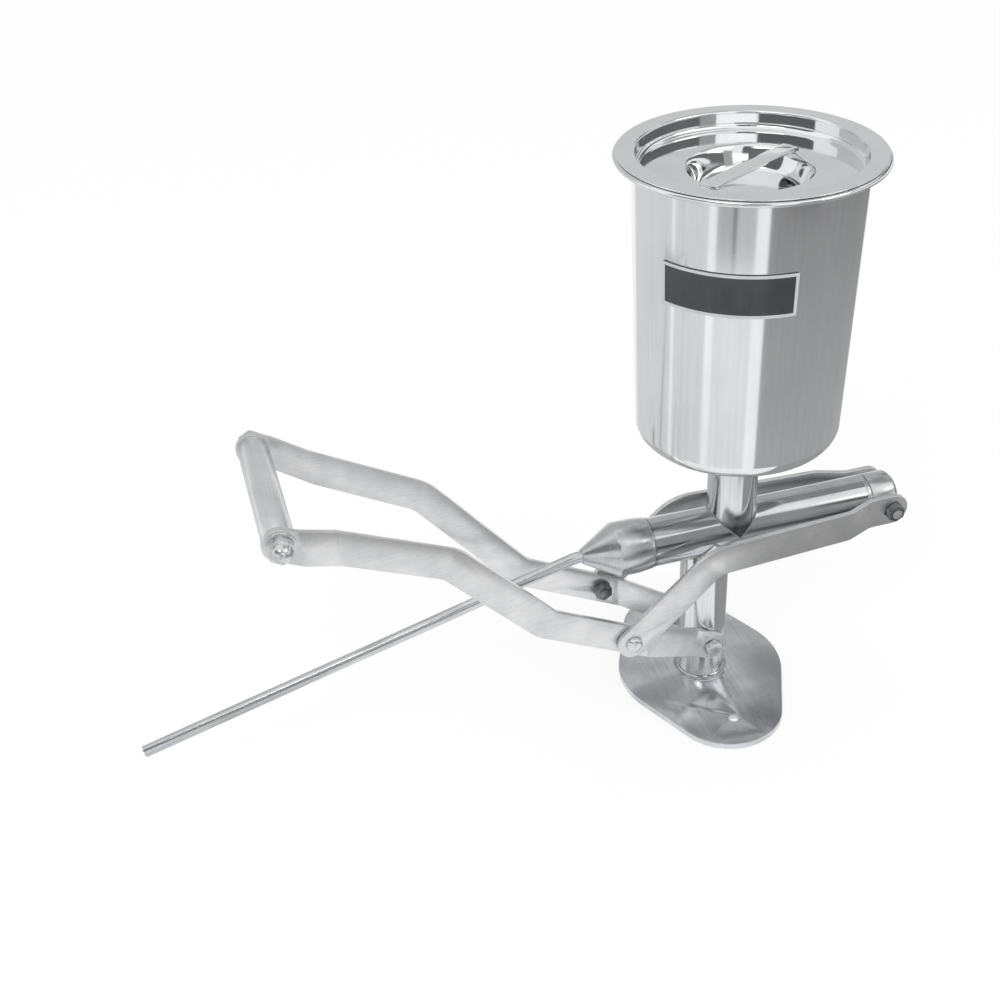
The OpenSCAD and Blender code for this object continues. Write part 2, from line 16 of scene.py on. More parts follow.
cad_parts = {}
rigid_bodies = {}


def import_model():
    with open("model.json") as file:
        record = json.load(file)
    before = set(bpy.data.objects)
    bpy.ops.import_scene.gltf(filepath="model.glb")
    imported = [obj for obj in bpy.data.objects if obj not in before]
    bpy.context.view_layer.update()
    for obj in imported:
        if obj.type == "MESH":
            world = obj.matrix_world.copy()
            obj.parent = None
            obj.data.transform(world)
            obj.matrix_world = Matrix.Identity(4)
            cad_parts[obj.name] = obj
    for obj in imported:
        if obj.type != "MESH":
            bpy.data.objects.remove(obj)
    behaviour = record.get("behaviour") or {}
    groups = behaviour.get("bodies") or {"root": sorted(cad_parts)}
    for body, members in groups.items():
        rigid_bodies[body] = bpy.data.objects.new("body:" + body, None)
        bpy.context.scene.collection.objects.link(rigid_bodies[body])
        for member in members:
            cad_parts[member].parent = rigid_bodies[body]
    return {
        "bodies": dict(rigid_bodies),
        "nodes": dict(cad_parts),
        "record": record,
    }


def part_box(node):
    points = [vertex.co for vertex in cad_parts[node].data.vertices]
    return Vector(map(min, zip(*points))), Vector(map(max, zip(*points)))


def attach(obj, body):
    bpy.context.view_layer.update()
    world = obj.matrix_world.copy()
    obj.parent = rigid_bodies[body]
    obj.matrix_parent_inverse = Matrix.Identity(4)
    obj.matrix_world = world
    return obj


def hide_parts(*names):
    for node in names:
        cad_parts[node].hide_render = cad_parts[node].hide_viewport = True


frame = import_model()
nodes, bodies = frame["nodes"], frame["bodies"]
body_of = {name: body for body, names in frame["record"]["behaviour"]["bodies"].items() for name in names}
slot_of = {part["node"]: part["material_slot"] for part in frame["record"]["subparts"]}
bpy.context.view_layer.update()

# %% [markdown]
# ## Camera
# The camera comes first, because every later choice is judged through it. It stands a metre away on
# the machine's right, a little ahead of the pot, and looks down at 36 degrees. Its place, its small
# roll and its lens were solved from the round rims and straight edges of the real object, and the
# small lens shift puts the machine where it stands in the square frame.

# %% Camera
MM = 0.001
CAMERA_TURN, CAMERA_RISE, CAMERA_ROLL = math.radians(72.8), math.radians(35.9), math.radians(-1.6)
CAMERA_AIM, CAMERA_DISTANCE = Vector((0, -115, 142)) * MM, 1042.9 * MM
FOCAL_SHARE = 1.3785          # focal length as a share of the picture's width
LENS_SHIFT = (-0.0652, 0.0584)

away = Vector((math.sin(CAMERA_TURN) * math.cos(CAMERA_RISE),
               -math.cos(CAMERA_TURN) * math.cos(CAMERA_RISE), math.sin(CAMERA_RISE)))
level_right = Vector((math.cos(CAMERA_TURN), math.sin(CAMERA_TURN), 0))
level_up = away.cross(level_right)
right = math.cos(CAMERA_ROLL) * level_right + math.sin(CAMERA_ROLL) * level_up
up = away.cross(right)

camera = bpy.data.objects.new("camera", bpy.data.cameras.new("camera"))
bpy.context.scene.collection.objects.link(camera)
camera.matrix_world = Matrix.Translation(CAMERA_AIM + away * CAMERA_DISTANCE) @ Matrix(
    (right, up, away)).transposed().to_4x4()
camera.data.sensor_width, camera.data.lens = 36, 36 * FOCAL_SHARE
camera.data.shift_x, camera.data.shift_y = LENS_SHIFT
camera.data.clip_start, camera.data.clip_end = 0.05, 60
bpy.context.scene.camera = camera


def in_picture(x, y, z):
    """Pixel of a 1000 x 1000 picture at which a point given in millimetres appears."""
    seen = Vector((x, y, z)) * MM - camera.location
    depth = -seen.dot(away)
    return (round(1000 * (0.5 - LENS_SHIFT[0] + FOCAL_SHARE * seen.dot(right) / depth), 1),
            round(1000 * (0.5 + LENS_SHIFT[1] - FOCAL_SHARE * seen.dot(up) / depth), 1))


print("post foot at", in_picture(0, 0, 0), "nozzle end at", in_picture(0, -444, 47))

# %% [markdown]
# ## Colours and nodes
# Colours are written as the eye reads them, in sRGB hex, and one function turns them to the linear
# values that the shader needs. A second small function adds a node with its settings and its links,
# so that each material below reads as a list of what goes into what. Two more start a material and
# finish it.

# %% Small helpers for materials


def to_linear(hex_text, alpha=1.0):
    """sRGB hex such as "#C8CACC" as a linear colour with alpha."""
    parts = [int(hex_text[i:i + 2], 16) / 255 for i in (1, 3, 5)]
    return (*[p / 12.92 if p <= 0.04045 else ((p + 0.055) / 1.055) ** 2.4 for p in parts], alpha)


def add_node(tree, kind, settings=(), **sockets):
    """Adds a node, sets its attributes from settings, and sets or links its inputs by name or number."""
    node = tree.nodes.new(kind)
    for name, value in dict(settings).items():
        setattr(node, name, value)
    for name, value in sockets.items():
        socket = node.inputs[int(name[1:])] if name[1:].isdigit() else node.inputs[name.replace("_", " ")]
        if isinstance(value, bpy.types.NodeSocket):
            tree.links.new(value, socket)
        else:
            socket.default_value = value
    return node


def new_material(name):
    """A material with its shader, the coordinates that its patterns follow, and its tree."""
    material = bpy.data.materials.new(name)
    material.use_nodes = True
    tree = material.node_tree
    place = add_node(tree, "ShaderNodeTexCoord").outputs["Object"]
    return material, tree, tree.nodes["Principled BSDF"], place


def connect(tree, shader, tone, rough, bump, metallic):
    """Links a material's colour, roughness and relief to its shader."""
    shader.inputs["Metallic"].default_value = metallic
    tree.links.new(tone.outputs[2], shader.inputs["Base Color"])
    tree.links.new(rough.outputs[0], shader.inputs["Roughness"])
    tree.links.new(bump.outputs[0], shader.inputs["Normal"])


print("light steel grey is", [round(c, 3) for c in to_linear("#C8CACC")])

# %% [markdown]
# ## Stainless steel
# Nearly everything here is stainless steel, and what tells one piece from the next is how its surface
# was made. A rolled or drawn sheet that is then polished keeps faint lines along the polishing
# stroke, soft clouds where the wheel pressed harder, and a thin film of handling. So one recipe
# draws lines stretched along a direction and clouds a few centimetres wide, and each finish gives
# it its own colour, gloss, line spacing and direction. The true lines are about a tenth of a
# millimetre apart, which no pixel here can show, so they are drawn one to three millimetres apart.

# %% Steel finishes
LINE_STRETCH = 0.012          # a line's width as a share of its length


def steel(name, light, dark, gloss, line_mm, stroke, cloud_mm, line_depth, relief, turn=(0, 0, 0)):
    """Polished steel: colours light and dark, roughness gloss[0] to gloss[1], lines line_mm apart that
    run along the axis whose entry in stroke is 1, and clouds cloud_mm wide. line_depth is the lines'
    share of the pattern beside the clouds, and turn lays the lines along a sloping piece."""
    material, tree, shader, place = new_material(name)
    spacing = [1 / (line_mm * MM) * (LINE_STRETCH if along else 1) for along in stroke]
    turned_place = add_node(tree, "ShaderNodeMapping", Vector=place, Rotation=turn)
    stretched = add_node(tree, "ShaderNodeMapping", Vector=turned_place.outputs[0], Scale=spacing)
    lines = add_node(tree, "ShaderNodeTexNoise", Vector=stretched.outputs[0], Scale=1.0, Detail=2.0)
    clouds = add_node(tree, "ShaderNodeTexNoise", Vector=place, Scale=1 / (cloud_mm * MM), Detail=3.0,
                      Roughness=0.55)
    both = add_node(tree, "ShaderNodeMix", Factor=line_depth, _2=clouds.outputs["Fac"],
                    _3=lines.outputs["Fac"])
    # The noise lies mostly between 0.36 and 0.64, so that range is spread over the two colours
    spread = add_node(tree, "ShaderNodeMapRange", _0=both.outputs[0], _1=0.36, _2=0.64, _3=0.0, _4=1.0)
    tone = add_node(tree, "ShaderNodeMix", {"data_type": "RGBA"}, _0=spread.outputs[0],
                    _6=to_linear(dark), _7=to_linear(light))
    rough = add_node(tree, "ShaderNodeMapRange", _0=both.outputs[0], _1=0.3, _2=0.7,
                     _3=gloss[1], _4=gloss[0])
    bump = add_node(tree, "ShaderNodeBump", Strength=relief, Distance=0.2 * MM, Height=lines.outputs["Fac"])
    connect(tree, shader, tone, rough, bump, metallic=1.0)
    return material


def darken_below(material, low_mm, high_mm, shade):
    """Makes a steel's colour darker towards the bottom: full up to low_mm, gone by high_mm."""
    tree = material.node_tree
    shader = tree.nodes["Principled BSDF"]
    clean = shader.inputs["Base Color"].links[0].from_socket
    place = add_node(tree, "ShaderNodeTexCoord").outputs["Object"]
    height = add_node(tree, "ShaderNodeSeparateXYZ", Vector=place).outputs["Z"]
    # film is only a mask here: the colour is darkest below low_mm and plain above high_mm
    film = add_node(tree, "ShaderNodeMapRange", _0=height, _1=low_mm * MM, _2=high_mm * MM, _3=1.0, _4=0.0)
    tinted = add_node(tree, "ShaderNodeMix", {"data_type": "RGBA", "blend_type": "MULTIPLY"},
                      _0=film.outputs[0], _6=clean, _7=to_linear(shade))
    tree.links.new(tinted.outputs[2], shader.inputs["Base Color"])


UPRIGHT, LENGTHWISE, CROSSWISE = (0, 0, 1), (0, 1, 0), (1, 0, 0)
NOZZLE_DROOP = 15.5           # degrees below level
TUBE_LIGHT, TUBE_DARK = "#E4E5E7", "#D2D4D6"
# Deep-drawn 304 sheet, wheel-polished up and down: bright, with soft upright streaks
drawn_mirror = steel("drawn mirror stainless", "#ECEDEE", "#E2E3E5", (0.09, 0.14), 3.2, UPRIGHT,
                     cloud_mm=60, line_depth=0.4, relief=0.015)
# The pot's inside keeps the dull grey of the drawing press. It scatters light where the outside
# mirrors it, so it is only half a mirror.
pot_inside = steel("as-drawn satin stainless", "#DDDEE0", "#C9CACC", (0.38, 0.5), 2.4, UPRIGHT,
                   cloud_mm=50, line_depth=0.4, relief=0.02)
pot_inside.node_tree.nodes["Principled BSDF"].inputs["Metallic"].default_value = 0.5
# Spun and polished lid: smoother, so its reflections are sharper
spun_mirror = steel("spun mirror stainless", "#EEEFF0", "#E6E7E9", (0.05, 0.09), 2.0, CROSSWISE,
                    cloud_mm=50, line_depth=0.2, relief=0.01)
# Drawn tube, belt-polished along its length. The neck's colour is made darker towards its foot, where it
# meets the barrel.
post_tube = steel("belt-polished tube upright", TUBE_LIGHT, TUBE_DARK, (0.08, 0.16), 1.6, UPRIGHT,
                  cloud_mm=40, line_depth=0.5, relief=0.03)
neck_steel = steel("tube upright darker at foot", TUBE_LIGHT, TUBE_DARK, (0.08, 0.16), 1.6, UPRIGHT,
                   cloud_mm=40, line_depth=0.5, relief=0.03)
darken_below(neck_steel, 151, 158, "#77787C")
barrel_tube = steel("belt-polished tube level", "#CDCED1", "#B4B6B9", (0.07, 0.13), 1.4, LENGTHWISE,
                    cloud_mm=40, line_depth=0.5, relief=0.03)
nozzle_steel = steel("belt-polished nozzle tube", "#D9DADD", "#BFC1C5", (0.14, 0.26), 1.2, LENGTHWISE,
                     cloud_mm=30, line_depth=0.5, relief=0.05, turn=(math.radians(-NOZZLE_DROOP), 0, 0))
# Flat bar, tumbled and lightly belt-sanded: pale, even and satin
bar_steel = steel("satin flat bar stainless", "#E7E7E8", "#D2D3D4", (0.26, 0.38), 1.2, LENGTHWISE,
                  cloud_mm=26, line_depth=0.35, relief=0.05)
# Laser-cut plate, polished on top but left a little cloudy by the wheel
plate_steel = steel("polished stainless plate", "#DCDEE0", "#BCBEC2", (0.16, 0.32), 2.2, CROSSWISE,
                    cloud_mm=34, line_depth=0.25, relief=0.06)
# Grip tube and fasteners
grip_steel = steel("satin grip tube stainless", "#EEEFF0", "#DADCDE", (0.24, 0.36), 1.0, CROSSWISE,
                   cloud_mm=22, line_depth=0.4, relief=0.05)
bolt_steel = steel("cold-headed stainless", "#E6E7E9", "#C6C8CB", (0.18, 0.32), 0.8, CROSSWISE,
                   cloud_mm=8, line_depth=0.3, relief=0.06)
# Blackened fasteners. The barrel's thread takes this dark steel too, as painted shade for the gap behind the
# cap.
dark_bolt_and_gap_shade_steel = steel("blackened fastener steel", "#8A8C90", "#64666A", (0.24, 0.4), 0.8, CROSSWISE,
                        cloud_mm=7, line_depth=0.3, relief=0.08)
weld_steel = steel("brushed weld bead stainless", "#C9CACD", "#8E9094", (0.22, 0.42), 0.9, CROSSWISE,
                   cloud_mm=6, line_depth=0.4, relief=0.12)
print("steel finishes", len([m for m in bpy.data.materials if "steel" in m.name or "stainless" in m.name]))

# %% [markdown]
# ## Turned steel, plastic and rubber
# The cap, the ferrule, the bush, the crosshead and the rods come off a lathe. A lathe leaves fine
# rings square to the axis, so their lines are bands along the barrel's direction, just under a
# millimetre apart. The hidden pieces are white plastic and rubber, each with its own small texture.

# %% Lathe rings and the other materials
WAVE_SCALE = 0.314            # the wave texture's scale for one band in each unit of length


def turned_metal(name, light, dark, gloss, ring_mm, relief=0.12):
    """Metal with lathe rings ring_mm apart along Y and a faint cloud of handling marks."""
    material, tree, shader, place = new_material(name)
    rings = add_node(tree, "ShaderNodeTexWave", {"bands_direction": "Y"}, Vector=place,
                     Scale=WAVE_SCALE / (ring_mm * MM), Distortion=1.2, Detail=2.0, Detail_Scale=1.0)
    clouds = add_node(tree, "ShaderNodeTexNoise", Vector=place, Scale=120.0, Detail=4.0)
    both = add_node(tree, "ShaderNodeMix", Factor=0.35, _2=clouds.outputs["Fac"], _3=rings.outputs["Fac"])
    tone = add_node(tree, "ShaderNodeMix", {"data_type": "RGBA"}, _0=both.outputs[0],
                    _6=to_linear(dark), _7=to_linear(light))
    rough = add_node(tree, "ShaderNodeMapRange", _0=both.outputs[0], _1=0.2, _2=0.8, _3=gloss[1], _4=gloss[0])
    bump = add_node(tree, "ShaderNodeBump", Strength=relief, Distance=0.1 * MM, Height=rings.outputs["Fac"])
    connect(tree, shader, tone, rough, bump, metallic=1.0)
    return material


def moulded(name, light, dark, roughness, grain_mm, relief=0.1, coat=0.0):
    """Plastic, rubber or a coated surface, with a fine grain grain_mm across and slightly mottled."""
    material, tree, shader, place = new_material(name)
    mottle = add_node(tree, "ShaderNodeTexNoise", Vector=place, Scale=60.0, Detail=3.0)
    grain = add_node(tree, "ShaderNodeTexNoise", Vector=place, Scale=1 / (grain_mm * MM), Detail=2.0)
    tone = add_node(tree, "ShaderNodeMix", {"data_type": "RGBA"}, _0=mottle.outputs["Fac"],
                    _6=to_linear(dark), _7=to_linear(light))
    rough = add_node(tree, "ShaderNodeMapRange", _0=mottle.outputs["Fac"], _1=0.3, _2=0.7,
                     _3=roughness - 0.06, _4=roughness + 0.06)
    bump = add_node(tree, "ShaderNodeBump", Strength=relief, Distance=0.1 * MM, Height=grain.outputs["Fac"])
    connect(tree, shader, tone, rough, bump, metallic=0.0)
    shader.inputs["Coat Weight"].default_value = coat
    return material


turned_steel = turned_metal("turned stainless", "#DADCDE", "#A9ABAE", (0.16, 0.32), 0.9)
piston_plastic = moulded("white acetal plastic", "#ECEAE2", "#E2DFD6", 0.42, 0.5)
seal_rubber = moulded("nitrile rubber", "#232325", "#161618", 0.62, 0.4, 0.2)
gasket_silicone = moulded("food-grade silicone", "#E9E7E2", "#DEDBD5", 0.5, 0.5)
# Anodised aluminium blank: dark and satin, with a fine even grain
plate_black = moulded("black anodised blank", "#3A3B3E", "#2C2D2F", 0.36, 0.6, 0.08, coat=0.15)

finish = {
    "polished_plate": plate_steel, "polished_tube": post_tube, "mirror_sheet": drawn_mirror,
    "brushed_bar": bar_steel, "turned_steel": turned_steel, "fastener_steel": bolt_steel,
    "dark_fastener": dark_bolt_and_gap_shade_steel, "dark_plate": plate_black, "piston_plastic": piston_plastic,
    "seal_rubber": seal_rubber, "gasket_rubber": gasket_silicone,
}
# Nodes whose lines or gloss differ from the rest of their slot
special = {"barrel": barrel_tube, "nozzle_tube": nozzle_steel, "lid": spun_mirror, "lid_strap": spun_mirror,
           "grip_tube": grip_steel, "neck_tube": neck_steel}


def finish_of(node):
    """The material of a CAD node."""
    return special.get(node, finish[slot_of[node]])


def dress(thing, node):
    """Gives a piece the finish of a CAD node, in place of what it came with."""
    thing.data.materials.clear()
    thing.data.materials.append(finish_of(node))


for name, thing in nodes.items():
    dress(thing, name)
print("dressed", len(nodes), "nodes with", len(finish) + len(special), "finishes")

# %% [markdown]
# ## Softened edges
# No real edge is perfectly sharp: a bar is deburred, a plate is broken with a file and a nut is
# tumbled, and the thin bright line that such an edge catches is what makes steel look real. A CAD
# node is loose triangles that may not be changed, so each one listed below is copied, the copy is welded
# into one skin, its flat areas are cleared of needless edges, and a narrow bevel is put on every
# sharp edge. The bevels only cut inwards, so the piece keeps its size.

# %% Edge softening
SHARP_DEG = 30                # edges sharper than this are bevelled
CORNER_DEG = 38               # faces that meet at more than this are shaded as a real corner


def skin_of(node):
    """A welded copy of a CAD node's mesh, with flat areas cleared, as a new bmesh."""
    made = bmesh.new()
    made.from_mesh(nodes[node].data)
    bmesh.ops.remove_doubles(made, verts=made.verts, dist=1e-6)
    bmesh.ops.dissolve_limit(made, angle_limit=math.radians(0.5), verts=made.verts, edges=made.edges)
    return made


def show_instead(made, node, name):
    """Turns a bmesh into a finished piece that stands for the CAD node and rides with its body."""
    mesh = bpy.data.meshes.new(name)
    made.to_mesh(mesh)
    made.free()
    piece = bpy.data.objects.new(name, mesh)
    bpy.context.scene.collection.objects.link(piece)
    dress(piece, node)
    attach(piece, body_of[node])
    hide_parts(node)
    return piece


def soften(node, width_mm):
    """Stands a copy in for the node, with a bevel width_mm wide on each sharp edge."""
    piece = show_instead(skin_of(node), node, node + "_softened")
    edge = piece.modifiers.new("softened edges", "BEVEL")
    edge.width, edge.segments, edge.limit_method = width_mm * MM, 2, "ANGLE"
    edge.angle_limit, edge.use_clamp_overlap = math.radians(SHARP_DEG), True
    edge.miter_outer = "MITER_ARC"
    graph = bpy.context.evaluated_depsgraph_get()
    finished = bpy.data.meshes.new_from_object(piece.evaluated_get(graph))
    piece.modifiers.clear()
    piece.data = finished
    finished.shade_smooth()
    finished.set_sharp_from_angle(angle=math.radians(CORNER_DEG))
    print(node, "softened by", width_mm, "mm,", len(finished.polygons), "faces")
    return piece


edge_widths = {
    "base_plate": 0.6, "lever_bar_right": 0.5, "lever_bar_left": 0.5, "link_right": 0.5, "link_left": 0.5,
    "crosshead": 0.5, "cap_nut": 0.3, "grip_washers": 0.2, "pivot_nuts": 0.35, "link_nuts": 0.35,
    "grip_nuts": 0.3, "fulcrum_bolt": 0.3, "fulcrum_nut": 0.3, "pivot_bolts": 0.3, "lid_strap": 0.3,
    "nameplate": 0.15, "grip_tube": 0.3, "rear_bush": 0.3,
}
softened = {node: soften(node, width) for node, width in edge_widths.items()}

# %% [markdown]
# ## Blank plate
# The small plate on the pot is an etched blank: a dark field inside a raised border that is left
# bright. The border is already in the CAD solid, so only its top faces get the bright finish. They
# are found by how far they stand out of the pot's wall, so the pot's sizes are given here first.

# %% Bright border of the blank plate
POT_AXIS_Y, POT_FOOT, POT_TOP, POT_LOW_R, POT_TOP_R = 20.4, 227.0, 438.0, 75.0, 79.4
BORDER_PROUD = 1.0            # how far out of the pot's wall a face must lie to belong to the border


def pot_r(z):
    """Outer radius of the pot's slightly flared wall at a height."""
    return POT_LOW_R + (POT_TOP_R - POT_LOW_R) * (z - POT_FOOT) / (POT_TOP - POT_FOOT)


def off_axis(face):
    """Distance of a face's centre from the pot's axis, and its height, in millimetres."""
    x, y, z = face.center / MM
    return math.hypot(x, y - POT_AXIS_Y), z


bright_border = moulded("bright etched border", "#C3C5C7", "#A6A8AB", 0.34, 0.6, 0.05)
plate = softened["nameplate"]
plate.data.materials.append(bright_border)
for face in plate.data.polygons:
    face_r, z = off_axis(face)
    if face_r - pot_r(z) > BORDER_PROUD:
        face.material_index = 1
print("border faces", sum(1 for face in plate.data.polygons if face.material_index))

# %% [markdown]
# ## Pot and lid
# The pot is drawn from one round of sheet and the lid is spun, so both are perfectly round about one
# upright axis, and a polished round shape shows the smallest flat in its reflections. Their shape
# follows a rule, a profile swept round an axis, so Geometry Nodes make it: the tree takes a row of
# profile points, lays a grid of points by rows, and turns each row about the axis. The number of
# steps round is an input. The profile repeats the CAD's own sizes, with finer arcs and with the
# small root radius that a rolled rim really has.

# %% A tree that turns a profile


def turning_tree():
    """Geometry Nodes tree that turns profile points about an upright axis through (0, Axis Y, 0)."""
    tree = bpy.data.node_groups.new("turn a profile", "GeometryNodeTree")
    tree.interface.new_socket("Profile", in_out="INPUT", socket_type="NodeSocketGeometry")
    for name, kind in (("Steps Round", "Int"), ("Profile Points", "Int"), ("Axis Y", "Float"),
                       ("Finish", "Material")):
        tree.interface.new_socket(name, in_out="INPUT", socket_type="NodeSocket" + kind)
    tree.interface.new_socket("Form", in_out="OUTPUT", socket_type="NodeSocketGeometry")
    given = add_node(tree, "NodeGroupInput").outputs
    columns = add_node(tree, "ShaderNodeMath", {"operation": "ADD"}, _0=given["Steps Round"], _1=1)
    grid = add_node(tree, "GeometryNodeMeshGrid", Vertices_X=columns.outputs[0],
                    Vertices_Y=given["Profile Points"])
    index = add_node(tree, "GeometryNodeInputIndex")
    share = add_node(tree, "ShaderNodeMath", {"operation": "DIVIDE"}, _0=index.outputs[0],
                     _1=given["Profile Points"])
    column = add_node(tree, "ShaderNodeMath", {"operation": "FLOOR"}, _0=share.outputs[0])
    row = add_node(tree, "ShaderNodeMath", {"operation": "MODULO"}, _0=index.outputs[0],
                   _1=given["Profile Points"])
    point = add_node(tree, "GeometryNodeSampleIndex", {"data_type": "FLOAT_VECTOR"},
                     Geometry=given["Profile"], Index=row.outputs[0],
                     Value=add_node(tree, "GeometryNodeInputPosition").outputs[0])
    angle = add_node(tree, "ShaderNodeMath", {"operation": "DIVIDE"}, _0=column.outputs[0],
                     _1=given["Steps Round"])
    angle = add_node(tree, "ShaderNodeMath", {"operation": "MULTIPLY"}, _0=angle.outputs[0], _1=2 * math.pi)
    turned = add_node(tree, "ShaderNodeVectorRotate", {"rotation_type": "Z_AXIS"}, Vector=point.outputs[0],
                      Angle=angle.outputs[0])
    axis = add_node(tree, "ShaderNodeCombineXYZ", Y=given["Axis Y"])
    placed = add_node(tree, "ShaderNodeVectorMath", {"operation": "ADD"}, _0=turned.outputs[0],
                      _1=axis.outputs[0])
    form = add_node(tree, "GeometryNodeSetPosition", Geometry=grid.outputs[0], Position=placed.outputs[0])
    joined = add_node(tree, "GeometryNodeMergeByDistance", Geometry=form.outputs[0], Distance=2e-6)
    real = add_node(tree, "GeometryNodeRealizeInstances", Geometry=joined.outputs[0])
    coated = add_node(tree, "GeometryNodeSetMaterial", Geometry=real.outputs[0], Material=given["Finish"])
    add_node(tree, "NodeGroupOutput", Form=coated.outputs[0])
    return tree


def grown(name, tree, points, edges=(), **settings):
    """Plain mesh that a tree grows from the given points (in millimetres) and its named inputs."""
    seed = bpy.data.meshes.new(name)
    seed.from_pydata([tuple(c * MM for c in p) for p in points], list(edges), [])
    piece = bpy.data.objects.new(name, seed)
    bpy.context.scene.collection.objects.link(piece)
    grower = piece.modifiers.new(name, "NODES")
    grower.node_group = tree
    for socket in tree.interface.items_tree:
        if socket.in_out == "INPUT" and socket.name.replace(" ", "_") in settings:
            grower[socket.identifier] = settings[socket.name.replace(" ", "_")]
    mesh = bpy.data.meshes.new_from_object(piece.evaluated_get(bpy.context.evaluated_depsgraph_get()))
    piece.modifiers.clear()
    piece.data = mesh
    return piece


def face_outwards(mesh):
    """Turns every face outwards on a closed form, and shades it smooth except at real corners."""
    skin = bmesh.new()
    skin.from_mesh(mesh)
    bmesh.ops.recalc_face_normals(skin, faces=skin.faces)
    if skin.calc_volume(signed=True) < 0:
        bmesh.ops.reverse_faces(skin, faces=skin.faces)
    open_edges = sum(1 for edge in skin.edges if not edge.is_manifold)
    skin.to_mesh(mesh)
    skin.free()
    mesh.shade_smooth()
    mesh.set_sharp_from_angle(angle=math.radians(CORNER_DEG))
    return open_edges


turn_a_profile = turning_tree()
print("tree inputs", [s.name for s in turn_a_profile.interface.items_tree])

# %% Pot
SHEET, NECK_BORE_R, CORNER, RIM_R, RIM_ROLL = 1.2, 17.5, 14.0, 91.5, 1.8
ROOT_R = 2.4                  # radius where the wall turns out into the rim
STEPS_ROUND = 192
INSIDE_FROM, INSIDE_TO = POT_FOOT + 0.7, POT_TOP - 2.6     # heights of the faces on the pot's inside


def arc(centre, r, from_deg, to_deg, steps):
    """Points of an arc in the profile's plane."""
    turns = [math.radians(from_deg + (to_deg - from_deg) * i / steps) for i in range(steps + 1)]
    return [(centre[0] + r * math.cos(t), centre[1] + r * math.sin(t)) for t in turns]


corner_at = (pot_r(POT_FOOT + CORNER) - CORNER, POT_FOOT + CORNER)
wall_height = POT_TOP - SHEET - ROOT_R - corner_at[1]
wall_levels = [corner_at[1] + wall_height * i / 8 for i in range(1, 9)]
pot_profile = (
    [(NECK_BORE_R, POT_FOOT)] + arc(corner_at, CORNER, -90, 0, 18) + [(pot_r(z), z) for z in wall_levels]
    + arc((POT_TOP_R + ROOT_R, POT_TOP - SHEET - ROOT_R), ROOT_R, 180, 90, 8)
    + arc((RIM_R - RIM_ROLL, POT_TOP - RIM_ROLL), RIM_ROLL, -150, 90, 20)
    + arc((POT_TOP_R + ROOT_R - SHEET, POT_TOP - ROOT_R), ROOT_R, 90, 180, 6)
    + arc(corner_at, CORNER - SHEET, 0, -90, 18)
    + [(NECK_BORE_R, POT_FOOT + SHEET), (NECK_BORE_R, POT_FOOT)])


def turned_piece(node, profile):
    """Round piece about the pot's axis that stands for a CAD node."""
    piece = grown(node + "_turned", turn_a_profile, [(r, 0, z) for r, z in profile], Axis_Y=POT_AXIS_Y * MM,
                  Steps_Round=STEPS_ROUND, Profile_Points=len(profile), Finish=finish_of(node))
    open_edges = face_outwards(piece.data)
    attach(piece, body_of[node])
    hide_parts(node)
    print(piece.name, len(piece.data.polygons), "faces, open edges", open_edges)
    return piece


pot = turned_piece("hopper", pot_profile)
pot.data.materials.append(pot_inside)
inside_slot = len(pot.data.materials) - 1
for face in pot.data.polygons:
    face_r, z = off_axis(face)
    within = INSIDE_FROM < z < INSIDE_TO and face_r < pot_r(z) - SHEET / 2
    if within and face.normal.z > -0.1:     # the underside looks down, the inside doesn't
        face.material_index = inside_slot
print("faces on the pot's inside", sum(face.material_index == inside_slot for face in pot.data.polygons))

# %% Lid
LID_BASE, LID_SHEET, DISH_DEPTH, BOWL_R, BOWL_DEPTH = 438.3, 1.0, 11.0, 44.0, 15.0
DISH_WALL = POT_TOP_R - SHEET - 0.9
DISH_FLOOR = LID_BASE - DISH_DEPTH
DISH_ROUND, SHOULDER_R = 4.0, 1.6
BOWL_SLOPE, BOWL_STEPS = 10.0, 40


def bowl_side(drop, inset):
    """The bowl's smooth S from the dish floor down to its own bottom."""
    shares = [k / BOWL_STEPS for k in range(BOWL_STEPS + 1)]
    return [(BOWL_R - BOWL_SLOPE * share - inset,
             DISH_FLOOR - drop - BOWL_DEPTH * (1 - math.cos(math.pi * share)) / 2) for share in shares]


lid_top = LID_BASE + LID_SHEET
dish_at = (DISH_WALL - LID_SHEET - DISH_ROUND, DISH_FLOOR + DISH_ROUND)
flange_r = RIM_R - RIM_ROLL
# The points just beside each bend keep the flats between the bends flat in the shading too
lid_profile = (
    [(0, DISH_FLOOR - BOWL_DEPTH)] + bowl_side(0, 0)[::-1] + [(BOWL_R + 0.4, DISH_FLOOR)]
    + [(dish_at[0] - 0.5, DISH_FLOOR)] + arc(dish_at, DISH_ROUND, -90, 0, 12)
    + [(DISH_WALL - LID_SHEET, dish_at[1] + 0.3), (DISH_WALL - LID_SHEET, lid_top - SHOULDER_R - 0.3)]
    + arc((DISH_WALL - LID_SHEET + SHOULDER_R, lid_top - SHOULDER_R), SHOULDER_R, 180, 90, 6)
    + [(DISH_WALL + 1.0, lid_top), (flange_r - 1.0, lid_top)]
    + arc((flange_r - LID_SHEET / 2, LID_BASE + LID_SHEET / 2), LID_SHEET / 2, 90, -90, 8)
    + [(DISH_WALL, LID_BASE)]
    + arc(dish_at, DISH_ROUND + LID_SHEET, 0, -90, 12) + bowl_side(LID_SHEET, 0.3)
    + [(0, DISH_FLOOR - BOWL_DEPTH - LID_SHEET)])
turned_piece("lid", lid_profile)
